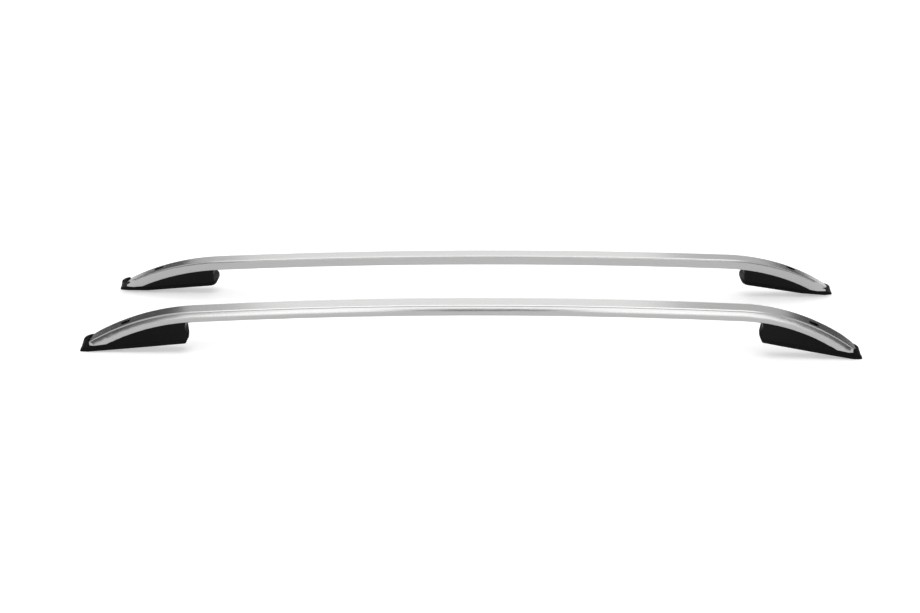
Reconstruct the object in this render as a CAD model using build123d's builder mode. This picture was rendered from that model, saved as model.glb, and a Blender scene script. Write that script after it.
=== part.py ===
"""Roof side rail pair: two mirrored arched aluminium bars on moulded feet, in millimetres.

X runs along the rails with the front at -X, Y across the pair, Z up. The right rail (+Y) is built
and the left one is its mirror image in the XZ plane.
"""

import os
from math import asin, atan, cos, degrees, radians, sin, tan

from build123d import *

# Overall
RAIL_LENGTH = 1900.0  # tip to tip
RAIL_SPACING = 345.0  # between the two lines of foot tips
HALF_LENGTH = RAIL_LENGTH / 2
LEAN = 12.0  # the bar leans inward by this as it rises, degrees
LEAN_FOOT = -11.0  # where the leaning plane meets the floor, outward of the tip line

# Bar: path of its middle, measured up the leaning plane
CROWN_HEIGHT = 115.8
CROWN_SHIFT = 150.0  # the highest point lies this far to the rear of the middle
ARCH_RADIUS = 14000.0
BEND_LENGTH = 285.0  # from the tip to the start of the bend, along X
BEND_STEPS = 5  # arcs in each bend
BEND_EASE = 0.06  # how much tighter the first arc is, and wider the last, as a share
FRONT_BEND_RADIUS = 587.0
REAR_BEND_RADIUS = 475.0
OVERRUN = 12.0  # the path goes on this far past the tip before the bar is trimmed

# Bar: section
BAR_WIDTH = 38.0
BAR_HEIGHT = 28.0
TOP_TILT = 1.5  # the top face falls outward by this, degrees
BAR_WALL = 2.4
OUTER_BULGE = 2.2
TOP_INNER_RADIUS = 4.5
TOP_OUTER_RADIUS = 6.0
BOTTOM_OUTER_RADIUS = 3.6
BOTTOM_INNER_RADIUS = 3.2
LEAST_RADIUS = 0.6
SOLID_NOSE = 84.0  # the bar is closed over this much of each end

# Bar: nose, in plan, measured from the tip and from the tip line
FRONT_NOSE_BACK = 21.5
REAR_NOSE_BACK = 17.5
NOSE_OUT = 1.0
NOSE_IN = -25.0
NOSE_RADIUS = 11.5
SHOULDER_BACK = 56.0
SHOULDER_OUT = 13.0
SHOULDER_IN = -39.0
NOSE_REACH = 110.0  # the nose is cut within this of the tip

# Feet: roof line under them
FRONT_FOOT_LENGTH = 268.0  # at the roof line
REAR_FOOT_LENGTH = 238.0
FRONT_SLOPE = 6.1
REAR_SLOPE = 10.6
BASE_START = 20.0  # the sloping roof line leaves the floor this far from the tip
SEAT_HEIGHT = 16.0  # from the roof line to the shelf under the bar's nose
FRONT_RIM_HEIGHT = 29.0  # from the roof line to the top of the rim around the nose
REAR_RIM_HEIGHT = 25.0

# Feet: plan at floor level, outward of the tip line, and how the walls lean with height
TIP_OUT = 3.5
TIP_IN = -12.0
KNEE_BACK = 80.0
KNEE_IN = -28.0
END_OUT = 15.0
END_IN = -31.0
TIP_RAKE = 0.52
TIP_LEAN = 0.185
OUTER_LEAN = 0.345
INNER_LEAN = 0.185
END_LEAN = 0.1
END_SKEW = 16.0  # the inner corner of the end wall lies this much nearer the tip
TIP_CORNER = 6.5
KNEE_CORNER = 34.0
END_OUTER_CORNER = 8.0
END_INNER_CORNER = 11.0
LOW_LEVEL = -8.0
HIGH_LEVEL = 97.0
RIDGE_OUT = 11.0  # ridge across the end wall, past its foot
RIDGE_LIFT = 20.0  # above the roof line
RIDGE_RADIUS = 2.5
NECK_LIFT = 34.0  # hollow over the ridge, above the roof line
NECK_RADIUS = 8.0
NECK_FLARE = 0.15

# Feet: cup around the bar's nose
CUP_LEVEL = 32.0
CUP_RAKE = 0.38
CUP_OUTER_LEAN = -0.08
CUP_INNER_LEAN = 0.76
CUP_CORNER = 6.6  # at floor level, and its growth with height
CUP_CORNER_GROWTH = 0.31
CUP_BACK = 62.0
CUP_TUCK = 1.0  # the cup's sides run this far inside the foot's walls

# Feet: moulding
FOOT_WALL = 3.0
FOOT_ROOF = 4.0
FOOT_TIP_SOLID = 62.0
RIB_THICKNESS = 2.5
RIB_SPOTS = (0.53, 0.73, 0.93)  # along the foot, as a share of its length
BOSS_DIAMETER = 19.0
SCREW_BOSS_DIAMETER = 14.0
SEAT_GAP = 0.2  # bar to foot

# Seals
SEAL_HEIGHT = 8.0
SEAL_WIDTH = 5.0
SEAL_LIP = 1.0

# Mounting bolt passage
BOLT_BACK = 118.0  # slot middle from the tip
BOLT_IN = -22.5  # bolt axis from the tip line
BOLT_HOLE = 8.5
SLEEVE_DIAMETER = 12.0
SLEEVE_LIFT = 1.0  # sleeve end above the roof line
HEAD_HOLE = 16.0  # in the bar's lower wall
SLOT_LENGTH = 25.0
SLOT_WIDTH = 14.0

# Screws and rivet nuts
SCREW_SPOTS = (0.66, 0.86)  # along the foot, as a share of its length
SCREW_DIAMETER = 4.8
SCREW_LENGTH = 14.0
SCREW_HEAD_DIAMETER = 9.5
SCREW_HEAD_HEIGHT = 3.2
SCREW_SOCKET = 4.0
SCREW_SOCKET_DEPTH = 1.8
NUT_DIAMETER = 7.0
NUT_BORE = 5.0
NUT_LENGTH = 10.5
NUT_FLANGE = 10.0
NUT_FLANGE_HEIGHT = 0.8
HOLE_GAP = 0.1

# Tool bodies are made larger than what they cut
REACH = 400.0
MARGIN = 60.0

LEAN_PLANE = Plane(
    origin=(0, LEAN_FOOT, 0),
    x_dir=(1, 0, 0),
    z_dir=(0, -cos(radians(LEAN)), -sin(radians(LEAN))),
)
OUTWARD = (0, cos(radians(LEAN)), sin(radians(LEAN)))


class End:
    """One end of a rail: side is -1 at the front and 1 at the rear."""

    def __init__(self, side, bend_radius, nose_back, foot_length, slope, rim_height):
        self.side = side
        self.bend_radius = bend_radius
        self.nose_back = nose_back
        self.foot_length = foot_length
        self.slope = radians(slope)
        self.rim_height = rim_height
        run = HALF_LENGTH - BEND_LENGTH - side * CROWN_SHIFT
        self.arch_angle = asin(run / ARCH_RADIUS)
        self.bend_height = CROWN_HEIGHT - ARCH_RADIUS * (1 - cos(self.arch_angle))

    def bend_to(self, back):
        """The bend from the arch to back from the tip.

        Returns its arcs, each a radius and a turn, and the bar's height up the leaning plane and its
        slope angle where they end.
        """
        step = (BEND_LENGTH + OVERRUN) / BEND_STEPS
        middle = (BEND_STEPS - 1) / 2
        height = self.bend_height
        angle = self.arch_angle
        arcs = []
        for count in range(BEND_STEPS):
            run = min(step, BEND_LENGTH - count * step - back)
            if run <= 0:
                break
            radius = self.bend_radius * (1 + BEND_EASE * (count - middle) / middle)
            turned = asin(sin(angle) + run / radius)
            height -= radius * (cos(angle) - cos(turned))
            arcs.append((radius, turned - angle))
            angle = turned
        return arcs, height, angle

    def angle_at(self, back):
        return self.bend_to(back)[2]

    def height_at(self, back):
        return self.bend_to(back)[1]

    def wall_back(self, level):
        """Where the foot's end wall stands at a level, back from the tip."""
        return self.foot_length + END_LEAN * (level - self.roof_height(self.foot_length))

    def x_at(self, back):
        return self.side * (HALF_LENGTH - back)

    def roof_plane(self, lift):
        """Plane parallel to the roof line under the foot, lift above it, facing up."""
        normal = Vector(self.side * sin(self.slope), 0, cos(self.slope))
        start = Vector(self.x_at(BASE_START), 0, 0)
        along = (cos(self.slope), 0, -self.side * sin(self.slope))
        return Plane(origin=start + normal * lift, x_dir=along, z_dir=normal)

    def roof_height(self, back):
        return (back - BASE_START) * tan(self.slope)

    def bolt_plane(self, lift):
        """Plane square to the mounting bolt, its origin on the bolt's axis lift above the roof line."""
        normal = Vector(self.side * sin(self.slope), 0, cos(self.slope))
        top = (self.height_at(BOLT_BACK) + BAR_HEIGHT / 2) * cos(radians(LEAN))
        drop = (top - self.roof_height(BOLT_BACK)) * cos(self.slope)
        slot = Vector(self.x_at(BOLT_BACK), BOLT_IN, top)
        along = (cos(self.slope), 0, -self.side * sin(self.slope))
        return Plane(origin=slot - normal * (drop - lift), x_dir=along, z_dir=normal)

    def screw_plane(self, share):
        """Plane on the bar's lower face above a foot screw, facing up into the bar."""
        back = self.foot_length * share
        height = self.height_at(back)
        slope = atan(tan(self.angle_at(back)) * cos(radians(LEAN)))
        normal = Vector(self.side * sin(slope), 0, cos(slope))
        middle = Vector(
            self.x_at(back),
            LEAN_FOOT - height * sin(radians(LEAN)),
            height * cos(radians(LEAN)),
        )
        origin = middle - normal * (BAR_HEIGHT / 2 * cos(radians(LEAN)))
        along = (cos(slope), 0, -self.side * sin(slope))
        return Plane(origin=origin, x_dir=along, z_dir=normal)


FRONT = End(-1, FRONT_BEND_RADIUS, FRONT_NOSE_BACK, FRONT_FOOT_LENGTH, FRONT_SLOPE, FRONT_RIM_HEIGHT)
REAR = End(1, REAR_BEND_RADIUS, REAR_NOSE_BACK, REAR_FOOT_LENGTH, REAR_SLOPE, REAR_RIM_HEIGHT)


def make_path(back):
    """Front bend, arch and rear bend, one after the other, from back behind one tip to the other."""
    front_arcs, height, angle = FRONT.bend_to(back)
    rear_arcs = REAR.bend_to(back)[0]
    arch = (ARCH_RADIUS, FRONT.arch_angle + REAR.arch_angle)
    spot = (FRONT.x_at(back), height)
    heading = (cos(angle), sin(angle))
    with BuildLine() as path:
        for radius, turn in (*reversed(front_arcs), arch, *rear_arcs):
            arc = JernArc(spot, heading, radius, -degrees(turn))
            spot = arc @ 1
            heading = arc % 1
    return LEAN_PLANE.location * path.wire()


PATH = make_path(-OVERRUN)
HOLLOW_PATH = make_path(SOLID_NOSE)


def start_plane(path):
    """Plane square to a path at its start, with x outward."""
    return Plane(origin=path @ 0, x_dir=OUTWARD, z_dir=path % 0)


def bar_section(path, inset):
    """Leaning four-sided section with a level bottom, a bulged outer side and round corners."""
    half = BAR_WIDTH / 2 - inset
    rise = BAR_HEIGHT / 2 - inset
    skew = half * tan(radians(LEAN))
    top_skew = half * tan(radians(LEAN + TOP_TILT))
    top_inner = (-half, rise + top_skew)
    top_outer = (half, rise - top_skew)
    low_outer = (half, -rise - skew)
    low_inner = (-half, -rise + skew)
    with BuildSketch(start_plane(path)) as section:
        with BuildLine():
            Line(low_inner, top_inner)
            Line(top_inner, top_outer)
            ThreePointArc(top_outer, (half + OUTER_BULGE, -skew), low_outer)
            Line(low_outer, low_inner)
        make_face()
        for spot, radius in (
            (top_inner, TOP_INNER_RADIUS),
            (top_outer, TOP_OUTER_RADIUS),
            (low_outer, BOTTOM_OUTER_RADIUS),
            (low_inner, BOTTOM_INNER_RADIUS),
        ):
            nearest = section.vertices().sort_by_distance(spot)[0]
            fillet(nearest, max(radius - inset, LEAST_RADIUS))
    return section.sketch


def over_bar(lowering):
    """Everything from lowering under the bar's lower face upward."""
    half = BAR_WIDTH / 2 + MARGIN
    low = -BAR_HEIGHT / 2 - lowering / cos(radians(LEAN))
    skew = half * tan(radians(LEAN))
    with BuildPart() as over:
        with BuildSketch(start_plane(PATH)):
            with BuildLine():
                Polyline(
                    (-half, low + skew),
                    (half, low - skew),
                    (half, REACH / 2),
                    (-half, REACH / 2),
                    close=True,
                )
            make_face()
        sweep(path=PATH)
    return over.part


def under(plane):
    """A block that fills the space below a plane, around its origin."""
    with BuildPart(plane) as block:
        Box(2 * REACH, REACH, REACH, align=(Align.CENTER, Align.CENTER, Align.MAX))
    return block.part


def nose_prism(end, grow):
    """The nose's plan outline as an upright prism that opens out toward the middle of the rail."""
    tip = end.x_at(end.nose_back - grow)
    shoulder = end.x_at(SHOULDER_BACK)
    middle = end.x_at(HALF_LENGTH)
    with BuildPart() as prism:
        with BuildSketch(Plane.XY.offset(-MARGIN)):
            with BuildLine():
                Polyline(
                    (tip, NOSE_IN - grow),
                    (tip, NOSE_OUT + grow),
                    (shoulder, SHOULDER_OUT + grow),
                    (shoulder, REACH),
                    (middle, REACH),
                    (middle, -REACH),
                    (shoulder, -REACH),
                    (shoulder, SHOULDER_IN - grow),
                    close=True,
                )
            face = make_face()
            outer = Axis.X if end.side > 0 else Axis((0, 0, 0), (-1, 0, 0))
            fillet(face.vertices().sort_by(outer)[-2:], NOSE_RADIUS + grow)
        extrude(amount=REACH)
    return prism.part


def foot_outline(end, level, inset):
    """The foot's plan at one level, as a sketch."""
    tip = end.x_at(inset + TIP_RAKE * level)
    knee = end.x_at(KNEE_BACK)
    wall = end.wall_back(level) + RIDGE_OUT - inset
    outer_end = end.x_at(wall)
    inner_end = end.x_at(wall - END_SKEW)
    tip_out = TIP_OUT - TIP_LEAN * level - inset
    tip_in = TIP_IN - TIP_LEAN * level + inset
    end_out = END_OUT - OUTER_LEAN * level - inset
    end_in = END_IN - INNER_LEAN * level + inset
    knee_in = KNEE_IN - INNER_LEAN * level + inset
    with BuildSketch(Plane.XY.offset(level)) as outline:
        with BuildLine():
            Polyline(
                (tip, tip_out),
                (outer_end, end_out),
                (inner_end, end_in),
                (knee, knee_in),
                (tip, tip_in),
                close=True,
            )
        make_face()
        for spot, radius in (
            ((tip, tip_out), TIP_CORNER - inset),
            ((tip, tip_in), TIP_CORNER - inset),
            ((knee, knee_in), KNEE_CORNER),
            ((outer_end, end_out), END_OUTER_CORNER - inset),
            ((inner_end, end_in), END_INNER_CORNER - inset),
        ):
            nearest = outline.vertices().sort_by_distance(spot)[0]
            fillet(nearest, radius)
    return outline.sketch


def cup_outline(end, level, inset):
    """The cup's plan at one level: a round nose whose sides run into the foot."""
    tip = end.x_at(inset + CUP_RAKE * level)
    rear = end.x_at(CUP_BACK)
    tip_out = TIP_OUT - CUP_OUTER_LEAN * level - inset
    tip_in = TIP_IN - CUP_INNER_LEAN * level + inset
    share = CUP_BACK / end.foot_length
    outer_lean = TIP_LEAN + (OUTER_LEAN - TIP_LEAN) * share
    rear_out = TIP_OUT + (END_OUT - TIP_OUT) * share - outer_lean * level - inset - CUP_TUCK
    rear_in = TIP_IN + (KNEE_IN - TIP_IN) * CUP_BACK / KNEE_BACK - TIP_LEAN * level + inset + CUP_TUCK
    with BuildSketch(Plane.XY.offset(level)) as outline:
        with BuildLine():
            Polyline((tip, tip_out), (rear, rear_out), (rear, rear_in), (tip, tip_in), close=True)
        make_face()
        for spot in ((tip, tip_out), (tip, tip_in)):
            nearest = outline.vertices().sort_by_distance(spot)[0]
            fillet(nearest, CUP_CORNER + CUP_CORNER_GROWTH * level - inset)
    return outline.sketch


def foot_body(end, inset):
    """Leaning foot solid from under the floor to above the bar."""
    with BuildPart() as body:
        low = foot_outline(end, LOW_LEVEL, inset)
        high = foot_outline(end, HIGH_LEVEL, inset)
        loft([low, high], ruled=True)
    return body.part


def foot_blank(end, inset):
    """The foot solid with the cup around the bar's nose."""
    with BuildPart() as blank:
        add(foot_body(end, inset))
        with BuildPart(mode=Mode.PRIVATE) as cup:
            low = cup_outline(end, LOW_LEVEL, inset)
            high = cup_outline(end, CUP_LEVEL, inset)
            loft([low, high], ruled=True)
        add(cup.part)
    return blank.part


def beyond_end(end, shift):
    """The space past the foot's end wall: the wall's raked base, ridge and hollow in side view."""
    back = end.foot_length - shift
    base = end.roof_height(end.foot_length)
    far = end.x_at(back + REACH)
    ridge = (end.x_at(back + RIDGE_OUT), base + RIDGE_LIFT)
    neck = (end.x_at(back), base + NECK_LIFT)
    with BuildPart() as space:
        with BuildSketch(Plane.XZ) as side:
            with BuildLine():
                Polyline(
                    (end.x_at(back - RIDGE_OUT), base - RIDGE_LIFT),
                    ridge,
                    neck,
                    (end.x_at(back + NECK_FLARE * REACH), neck[1] + REACH),
                    (far, neck[1] + REACH),
                    (far, base - RIDGE_LIFT),
                    close=True,
                )
            make_face()
            for spot, radius in ((ridge, RIDGE_RADIUS), (neck, NECK_RADIUS)):
                nearest = side.vertices().sort_by_distance(spot)[0]
                fillet(nearest, radius)
        extrude(amount=REACH, both=True)
    return space.part


def across(end, share):
    """Cross rib slab at a share of the foot's length."""
    place = Plane(origin=(end.x_at(end.foot_length * share), 0, 0))
    with BuildPart(place) as slab:
        Box(RIB_THICKNESS, REACH, REACH)
    return slab.part


def round_bar(plane, diameter, start, stop):
    """Cylinder along a plane's normal from start to stop."""
    with BuildPart() as rod:
        with BuildSketch(plane.offset(start)):
            Circle(diameter / 2)
        extrude(amount=stop - start)
    return rod.part


def end_block(end, depth):
    """Everything within a distance of the tip along X."""
    place = Plane(origin=(end.x_at(0), 0, 0))
    with BuildPart(place) as block:
        Box(2 * depth, REACH, REACH)
    return block.part


def sleeve_top(end):
    """Height of the sleeve's upper end above the roof line, just under the bar's sloping lower face."""
    low = (end.height_at(BOLT_BACK) - BAR_HEIGHT / 2) * cos(radians(LEAN)) - end.roof_height(BOLT_BACK)
    fall = SLEEVE_DIAMETER / 2 * tan(end.angle_at(BOLT_BACK))
    return low * cos(end.slope) - fall - FOOT_ROOF / 2


OVER_SEAT = over_bar(SEAT_GAP)
OVER_CAVITY = over_bar(SEAT_GAP + FOOT_ROOF)


def make_bar():
    with BuildPart() as bar:
        sweep(sections=bar_section(PATH, 0), path=PATH)
        sweep(sections=bar_section(HOLLOW_PATH, BAR_WALL), path=HOLLOW_PATH, mode=Mode.SUBTRACT)
        for end in (FRONT, REAR):
            add(under(end.roof_plane(SEAT_HEIGHT)) & end_block(end, NOSE_REACH), mode=Mode.SUBTRACT)
            add(end_block(end, NOSE_REACH) - nose_prism(end, 0), mode=Mode.SUBTRACT)
            lower = sleeve_top(end)
            with BuildSketch(end.bolt_plane(lower + BAR_HEIGHT / 2)):
                SlotOverall(SLOT_LENGTH, SLOT_WIDTH)
            extrude(amount=MARGIN, mode=Mode.SUBTRACT)
            add(round_bar(end.bolt_plane(0), HEAD_HOLE, 0, lower + BAR_HEIGHT / 2), mode=Mode.SUBTRACT)
            for share in SCREW_SPOTS:
                hole = round_bar(end.screw_plane(share), NUT_DIAMETER + 2 * HOLE_GAP, -MARGIN / 4, MARGIN / 5)
                add(hole, mode=Mode.SUBTRACT)
    return bar.part


def make_foot(end):
    tongue = nose_prism(end, SEAT_GAP)
    seat = under(end.roof_plane(SEAT_HEIGHT)) & end_block(end, NOSE_REACH)
    rim = under(end.roof_plane(end.rim_height)) & end_block(end, NOSE_REACH)
    with BuildPart() as foot:
        add(foot_blank(end, 0))
        add(OVER_SEAT - seat - (rim - tongue), mode=Mode.SUBTRACT)
        add(under(end.roof_plane(SEAL_HEIGHT)), mode=Mode.SUBTRACT)
        add(beyond_end(end, 0), mode=Mode.SUBTRACT)
        with BuildPart(mode=Mode.PRIVATE) as cavity:
            add(foot_body(end, FOOT_WALL))
            add(OVER_CAVITY, mode=Mode.SUBTRACT)
            add(end_block(end, FOOT_TIP_SOLID), mode=Mode.SUBTRACT)
            add(beyond_end(end, FOOT_WALL), mode=Mode.SUBTRACT)
            for share in RIB_SPOTS:
                add(across(end, share), mode=Mode.SUBTRACT)
            add(round_bar(end.bolt_plane(0), BOSS_DIAMETER, -MARGIN, MARGIN), mode=Mode.SUBTRACT)
            for share in SCREW_SPOTS:
                plane = end.screw_plane(share)
                boss = round_bar(plane, SCREW_BOSS_DIAMETER, -2 * FOOT_ROOF, MARGIN)
                add(boss, mode=Mode.SUBTRACT)
        add(cavity.part, mode=Mode.SUBTRACT)
        bore = round_bar(end.bolt_plane(0), SLEEVE_DIAMETER + 2 * HOLE_GAP, -MARGIN, MARGIN)
        add(bore, mode=Mode.SUBTRACT)
        for share in SCREW_SPOTS:
            plane = end.screw_plane(share)
            add(round_bar(plane, SCREW_DIAMETER + 4 * HOLE_GAP, -MARGIN / 2, MARGIN / 2), mode=Mode.SUBTRACT)
            relief = -SEAT_GAP - NUT_FLANGE_HEIGHT - HOLE_GAP
            add(round_bar(plane, NUT_FLANGE + 4 * HOLE_GAP, relief, MARGIN / 2), mode=Mode.SUBTRACT)
    return foot.part


def make_seal(end):
    floor = under(Plane(origin=(end.x_at(0), 0, 0)))
    with BuildPart() as seal:
        add(foot_blank(end, -SEAL_LIP))
        add(under(end.roof_plane(SEAL_HEIGHT)), mode=Mode.INTERSECT)
        add(under(end.roof_plane(0)), mode=Mode.SUBTRACT)
        add(floor, mode=Mode.SUBTRACT)
        add(beyond_end(end, -SEAL_LIP), mode=Mode.SUBTRACT)
        with BuildPart(mode=Mode.PRIVATE) as middle:
            add(foot_body(end, SEAL_WIDTH))
            add(end_block(end, FOOT_TIP_SOLID), mode=Mode.SUBTRACT)
            add(beyond_end(end, SEAL_WIDTH), mode=Mode.SUBTRACT)
        add(middle.part, mode=Mode.SUBTRACT)
        way = SLEEVE_DIAMETER + 2 * SEAL_LIP
        add(round_bar(end.bolt_plane(0), way, -MARGIN, MARGIN), mode=Mode.SUBTRACT)
    return seal.part


def make_sleeve(end):
    plane = end.bolt_plane(0)
    top = sleeve_top(end)
    with BuildPart() as sleeve:
        add(round_bar(plane, SLEEVE_DIAMETER, SLEEVE_LIFT, top))
        add(round_bar(plane, BOLT_HOLE, -MARGIN, MARGIN), mode=Mode.SUBTRACT)
    return sleeve.part


def make_screws(end):
    with BuildPart() as screws:
        for share in SCREW_SPOTS:
            plane = end.screw_plane(share)
            seat = -2 * FOOT_ROOF - HOLE_GAP
            add(round_bar(plane, SCREW_DIAMETER, seat, seat + SCREW_LENGTH))
            add(round_bar(plane, SCREW_HEAD_DIAMETER, seat - SCREW_HEAD_HEIGHT, seat))
            with BuildSketch(plane.offset(seat - SCREW_HEAD_HEIGHT)):
                RegularPolygon(SCREW_SOCKET / 2, 6)
            extrude(amount=SCREW_SOCKET_DEPTH, mode=Mode.SUBTRACT)
    return screws.part


def make_nuts(end):
    with BuildPart() as nuts:
        for share in SCREW_SPOTS:
            plane = end.screw_plane(share)
            low = -SEAT_GAP / 2
            add(round_bar(plane, NUT_FLANGE, low - NUT_FLANGE_HEIGHT, low))
            add(round_bar(plane, NUT_DIAMETER, low, low + NUT_LENGTH))
            bore = round_bar(plane, NUT_BORE, -MARGIN / 4, MARGIN / 4)
            add(bore, mode=Mode.SUBTRACT)
    return nuts.part


def save(shape, name):
    """Place a piece in the right rail, mirror it into the left rail, and write both."""
    right = Pos(0, RAIL_SPACING / 2, 0) * shape
    left = mirror(right, about=Plane.XZ)
    for side, piece in (("right", right), ("left", left)):
        piece.label = side + "_" + name
        export_step(piece, "parts/" + piece.label + ".step")


os.makedirs("parts", exist_ok=True)
save(make_bar(), "bar")
for word, end in (("front", FRONT), ("rear", REAR)):
    save(make_foot(end), word + "_foot")
    save(make_seal(end), word + "_seal")
    save(make_sleeve(end), word + "_sleeve")
    save(make_screws(end), word + "_screws")
    save(make_nuts(end), word + "_rivet_nuts")
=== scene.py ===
"""Looks for the roof side rail pair: finishes, pale floor, soft studio light and the photo's camera."""

from math import pi, radians

import bpy
from mathutils import Euler, Matrix, Vector

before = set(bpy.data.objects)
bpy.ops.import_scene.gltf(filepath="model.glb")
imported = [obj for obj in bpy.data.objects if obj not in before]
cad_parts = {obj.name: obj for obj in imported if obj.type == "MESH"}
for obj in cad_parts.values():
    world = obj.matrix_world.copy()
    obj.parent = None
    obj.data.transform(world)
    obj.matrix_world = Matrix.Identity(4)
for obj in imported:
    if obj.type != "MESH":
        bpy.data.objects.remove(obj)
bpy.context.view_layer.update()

# Camera: place in metres, angles in degrees, sensor in millimetres, the photo in pixels
PHOTO_WIDTH = 920
FOCAL_PIXELS = 1217.0
SENSOR_WIDTH = 36.0
CAMERA_PLACE = (0.153, -2.7255, 1.483)
CAMERA_PITCH = 27.85  # down from level
CAMERA_YAW = -3.6  # clockwise from +Y, seen from above
CAMERA_ROLL = 1.24  # clockwise, seen from behind the camera

# Floor and background, in metres
WHITE = (1, 1, 1, 1)
FLOOR_SIZE = 60.0
FLOOR_DROP = 0.0005  # below the part's lowest points
FLOOR_COLOUR = (0.86, 0.86, 0.86, 1)
FLOOR_ROUGHNESS = 0.9
FLOOR_LIFT = 0.45  # added where the floor is seen, so that it comes out white
FAR_LIFT = 0.8  # the same, away from the lamps
NEAR_FLOOR = 1.6  # distance from the middle at which the lift starts to grow
FAR_FLOOR = 4.5  # distance at which it stops growing
WORLD_LIGHT = 0.35  # the background as a lamp
BACKGROUND = 1.0  # the background as it is seen and mirrored

# Soft boxes and dark cards, in metres, with the part in the middle
SOFT_BOXES = {  # place, size and level
    "top_box": ((0.0, 0.1, 2.9), (3.4, 3.4), 1.7),
    "back_box": ((-0.3, 3.6, 2.2), (2.8, 1.7), 0.85),
    "front_box": ((0.0, -3.4, 1.0), (3.0, 0.8), 1.6),
    "left_strip": ((-0.72, -1.7, 0.185), (0.85, 0.33), 1.75),
    "right_strip": ((0.72, -1.7, 0.185), (0.85, 0.33), 1.75),
}
CARDS = {  # place and size
    "left_side_card": ((-2.9, 1.8, 1.3), (3.0, 2.6)),
    "right_side_card": ((3.05, 1.7, 1.3), (2.8, 2.6)),
    "left_back_card": ((-2.9, 4.2, 0.5), (3.0, 1.0)),
    "right_back_card": ((2.9, 4.2, 0.5), (3.0, 1.0)),
    "left_front_card": ((-2.8, -3.0, 0.7), (2.4, 1.8)),
    "right_front_card": ((2.8, -3.0, 0.7), (2.4, 1.8)),
    "middle_card": ((0.0, -1.75, 0.18), (0.6, 0.36)),
}
CARD_COLOUR = (0.2, 0.2, 0.2, 1)
CARD_ROUGHNESS = 1.0

# Shading of the solids' facets, in metres and degrees
JOIN_DISTANCE = 0.00001
SHARP_ANGLE = 32.0

# Finishes: two colours and two roughnesses, blended by noise of a scale per metre
ALUMINIUM = {
    "colours": ((0.375, 0.375, 0.372), (0.405, 0.405, 0.402)),
    "rough": (0.20, 0.23),
    "scale": 900.0,
    "stretch": 40.0,
}
PLASTIC = {
    "colours": ((0.002, 0.002, 0.0022), (0.0045, 0.0045, 0.0047)),
    "rough": (0.3, 0.42),
    "scale": 1400.0,
}
RUBBER = {
    "colours": ((0.0025, 0.0025, 0.0025), (0.005, 0.005, 0.005)),
    "rough": (0.55, 0.7),
    "scale": 900.0,
}
STEEL = {
    "colours": ((0.42, 0.42, 0.41), (0.52, 0.52, 0.51)),
    "rough": (0.3, 0.42),
    "scale": 700.0,
}
ZINC = {
    "colours": ((0.50, 0.51, 0.52), (0.60, 0.61, 0.62)),
    "rough": (0.24, 0.36),
    "scale": 500.0,
}
NOISE_RANGE = (0.3, 0.7)  # noise below it gives the first of the two, above it the second
METAL_DETAIL = 4.0
MOULDED_DETAIL = 3.0
MOULDED_SPECULAR = 0.08
GRAIN_STRENGTH = 0.25
GRAIN_DEPTH = 0.0002


def shader_tree(name):
    """A new material with its node tree and its shader."""
    material = bpy.data.materials.new(name)
    material.use_nodes = True
    tree = material.node_tree
    return material, tree, tree.nodes["Principled BSDF"]


def noise(tree, scale, detail, stretch=1.0):
    """Noise over the object's own coordinates, stretched along X."""
    place = tree.nodes.new("ShaderNodeTexCoord")
    mapping = tree.nodes.new("ShaderNodeMapping")
    mapping.inputs["Scale"].default_value = (1 / stretch, 1, 1)
    texture = tree.nodes.new("ShaderNodeTexNoise")
    texture.inputs["Scale"].default_value = scale
    texture.inputs["Detail"].default_value = detail
    tree.links.new(place.outputs["Object"], mapping.inputs["Vector"])
    tree.links.new(mapping.outputs["Vector"], texture.inputs["Vector"])
    return texture.outputs["Fac"]


def spread(tree, value, old, new):
    """A value mapped from one range to another."""
    node = tree.nodes.new("ShaderNodeMapRange")
    for name, bound in zip(("From Min", "From Max", "To Min", "To Max"), (*old, *new)):
        node.inputs[name].default_value = bound
    tree.links.new(value, node.inputs["Value"])
    return node.outputs["Result"]


def calculate(tree, operation, first, second):
    """Two values put together by a math operation."""
    node = tree.nodes.new("ShaderNodeMath")
    node.operation = operation
    tree.links.new(first, node.inputs[0])
    tree.links.new(second, node.inputs[1])
    return node.outputs["Value"]


def two_tone(tree, value, colours):
    """Two colours blended by noise."""
    ramp = tree.nodes.new("ShaderNodeValToRGB")
    for element, colour, position in zip(ramp.color_ramp.elements, colours, NOISE_RANGE):
        element.color = (*colour, 1)
        element.position = position
    tree.links.new(value, ramp.inputs["Fac"])
    return ramp.outputs["Color"]


def vary(tree, shader, value, colours, rough):
    """Colour and roughness that vary with noise."""
    tree.links.new(two_tone(tree, value, colours), shader.inputs["Base Color"])
    tree.links.new(spread(tree, value, NOISE_RANGE, rough), shader.inputs["Roughness"])


def grain(tree, shader, value):
    """Fine relief on a surface."""
    bump = tree.nodes.new("ShaderNodeBump")
    bump.inputs["Strength"].default_value = GRAIN_STRENGTH
    bump.inputs["Distance"].default_value = GRAIN_DEPTH
    tree.links.new(value, bump.inputs["Height"])
    tree.links.new(bump.outputs["Normal"], shader.inputs["Normal"])


def metal(name, colours, rough, scale, stretch=1.0):
    """A metal whose marks run along X where they are stretched."""
    material, tree, shader = shader_tree(name)
    shader.inputs["Metallic"].default_value = 1.0
    vary(tree, shader, noise(tree, scale, METAL_DETAIL, stretch), colours, rough)
    return material


def moulded(name, colours, rough, scale):
    """A plastic or rubber with a fine grain."""
    material, tree, shader = shader_tree(name)
    shader.inputs["Specular IOR Level"].default_value = MOULDED_SPECULAR
    value = noise(tree, scale, MOULDED_DETAIL)
    vary(tree, shader, value, colours, rough)
    grain(tree, shader, value)
    return material


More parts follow.
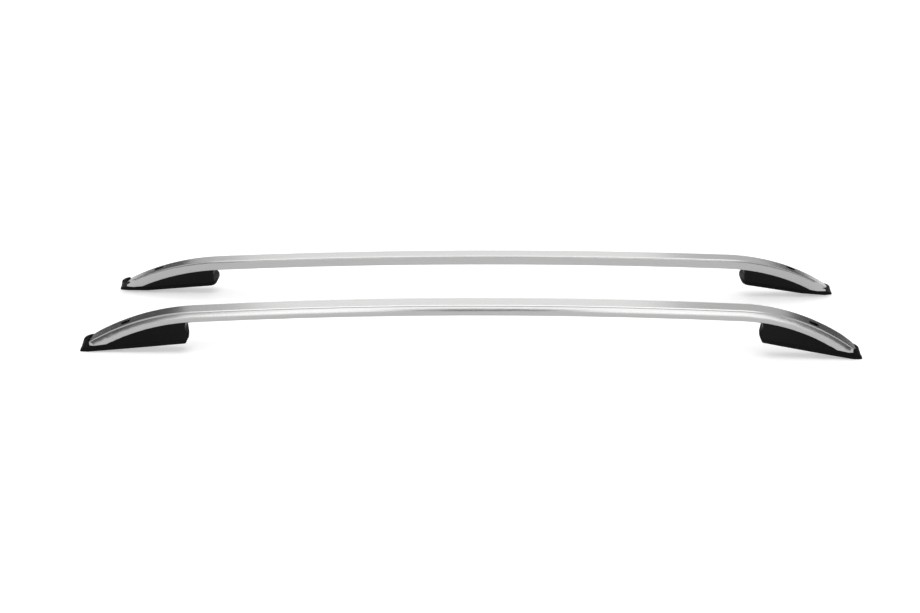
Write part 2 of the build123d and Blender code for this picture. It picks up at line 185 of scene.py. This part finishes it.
def smoothing():
    """A node group that joins neighbouring facets and keeps only real edges sharp."""
    group = bpy.data.node_groups.new("smoothing", "GeometryNodeTree")
    group.interface.new_socket("Geometry", in_out="INPUT", socket_type="NodeSocketGeometry")
    group.interface.new_socket("Geometry", in_out="OUTPUT", socket_type="NodeSocketGeometry")
    start = group.nodes.new("NodeGroupInput")
    join = group.nodes.new("GeometryNodeMergeByDistance")
    join.inputs["Distance"].default_value = JOIN_DISTANCE
    angle = group.nodes.new("GeometryNodeInputMeshEdgeAngle")
    gentle = group.nodes.new("FunctionNodeCompare")
    gentle.operation = "LESS_THAN"
    gentle.inputs["B"].default_value = radians(SHARP_ANGLE)
    faces = group.nodes.new("GeometryNodeSetShadeSmooth")
    edges = group.nodes.new("GeometryNodeSetShadeSmooth")
    edges.domain = "EDGE"
    finish = group.nodes.new("NodeGroupOutput")
    group.links.new(start.outputs[0], join.inputs["Geometry"])
    group.links.new(join.outputs["Geometry"], faces.inputs["Geometry"])
    group.links.new(faces.outputs["Geometry"], edges.inputs["Geometry"])
    group.links.new(angle.outputs["Unsigned Angle"], gentle.inputs["A"])
    group.links.new(gentle.outputs["Result"], edges.inputs["Shade Smooth"])
    group.links.new(edges.outputs["Geometry"], finish.inputs[0])
    return group


def soften(nodes):
    """Even shading over fillets and bends. The shapes stay as they are."""
    group = smoothing()
    for node in nodes:
        node.modifiers.new("smoothing", "NODES").node_group = group
        weighted = node.modifiers.new("weighted", "WEIGHTED_NORMAL")
        weighted.keep_sharp = True


def dress(ending, material):
    """Give each node whose name has this ending its material and slot."""
    for name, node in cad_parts.items():
        if name.endswith(ending):
            node.data.materials.clear()
            node.data.materials.append(material)


def finishes():
    dress("_bar", metal("satin_aluminium", **ALUMINIUM))
    dress("_foot", moulded("black_plastic", **PLASTIC))
    dress("_seal", moulded("black_rubber", **RUBBER))
    dress("_sleeve", metal("plain_steel", **STEEL))
    zinc = metal("zinc_plate", **ZINC)
    dress("_screws", zinc)
    dress("_rivet_nuts", zinc)


def seen_or_mirrored(tree):
    """1 for camera, glossy and transmission rays, otherwise 0."""
    path = tree.nodes.new("ShaderNodeLightPath").outputs
    mirrored = calculate(tree, "MAXIMUM", path["Is Glossy Ray"], path["Is Transmission Ray"])
    return calculate(tree, "MAXIMUM", path["Is Camera Ray"], mirrored)


def floor_material():
    """A pale matt white that is lifted where it is seen, and more so far from the middle."""
    material, tree, shader = shader_tree("floor_white")
    shader.inputs["Base Color"].default_value = FLOOR_COLOUR
    shader.inputs["Roughness"].default_value = FLOOR_ROUGHNESS
    shader.inputs["Specular IOR Level"].default_value = 0.0
    shader.inputs["Emission Color"].default_value = WHITE
    place = tree.nodes.new("ShaderNodeTexCoord")
    distance = tree.nodes.new("ShaderNodeVectorMath")
    distance.operation = "LENGTH"
    tree.links.new(place.outputs["Object"], distance.inputs[0])
    lift = spread(tree, distance.outputs["Value"], (NEAR_FLOOR, FAR_FLOOR), (FLOOR_LIFT, FAR_LIFT))
    strength = calculate(tree, "MULTIPLY", seen_or_mirrored(tree), lift)
    tree.links.new(strength, shader.inputs["Emission Strength"])
    return material


def make_floor():
    bpy.ops.mesh.primitive_plane_add(size=FLOOR_SIZE, location=(0, 0, -FLOOR_DROP))
    floor = bpy.context.object
    floor.name = "floor"
    floor.data.materials.append(floor_material())


def make_world():
    """A background that is white to look at and a weak lamp for the part."""
    world = bpy.data.worlds.new("studio")
    world.use_nodes = True
    tree = world.node_tree
    background = tree.nodes["Background"]
    background.inputs["Color"].default_value = WHITE
    level = spread(tree, seen_or_mirrored(tree), (0, 1), (WORLD_LIGHT, BACKGROUND))
    tree.links.new(level, background.inputs["Strength"])
    bpy.context.scene.world = world


def facing(place, target):
    """The turn that points an object's -Z side at a target."""
    return (Vector(target) - Vector(place)).to_track_quat("-Z", "Y").to_euler()


def make_light(name, place, size, level):
    """A soft box. Its power grows with its area, so the level alone sets how bright it looks."""
    data = bpy.data.lights.new(name, "AREA")
    data.shape = "RECTANGLE"
    data.size, data.size_y = size
    data.energy = level * pi * size[0] * size[1]
    light = bpy.data.objects.new(name, data)
    light.location = place
    light.rotation_euler = facing(place, (0, 0, 0))
    light.visible_camera = False
    bpy.context.collection.objects.link(light)


def card_material():
    material, _, shader = shader_tree("dark_card")
    shader.inputs["Base Color"].default_value = CARD_COLOUR
    shader.inputs["Roughness"].default_value = CARD_ROUGHNESS
    return material


def make_card(name, place, size, material):
    """An upright dark card that shows only in reflections, as the unlit parts of a studio do."""
    turn = facing(place, (0, 0, place[2]))
    bpy.ops.mesh.primitive_plane_add(size=1, location=place, rotation=turn)
    card = bpy.context.object
    card.name = name
    card.scale = (*size, 1)
    card.visible_camera = False
    card.visible_diffuse = False
    card.visible_shadow = False
    card.data.materials.append(material)


def make_studio():
    make_floor()
    make_world()
    for name, box in SOFT_BOXES.items():
        make_light(name, *box)
    dark = card_material()
    for name, card in CARDS.items():
        make_card(name, *card, dark)


def make_camera():
    data = bpy.data.cameras.new("camera")
    data.sensor_width = SENSOR_WIDTH
    data.lens = FOCAL_PIXELS / PHOTO_WIDTH * SENSOR_WIDTH
    camera = bpy.data.objects.new("camera", data)
    turn = Euler((radians(90 - CAMERA_PITCH), 0, radians(-CAMERA_YAW))).to_matrix()
    turn = turn @ Matrix.Rotation(radians(-CAMERA_ROLL), 3, "Z")
    camera.matrix_world = Matrix.Translation(CAMERA_PLACE) @ turn.to_4x4()
    bpy.context.collection.objects.link(camera)
    bpy.context.scene.camera = camera


finishes()
soften(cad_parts.values())
make_studio()
make_camera()
bpy.context.scene.view_settings.view_transform = "Standard"
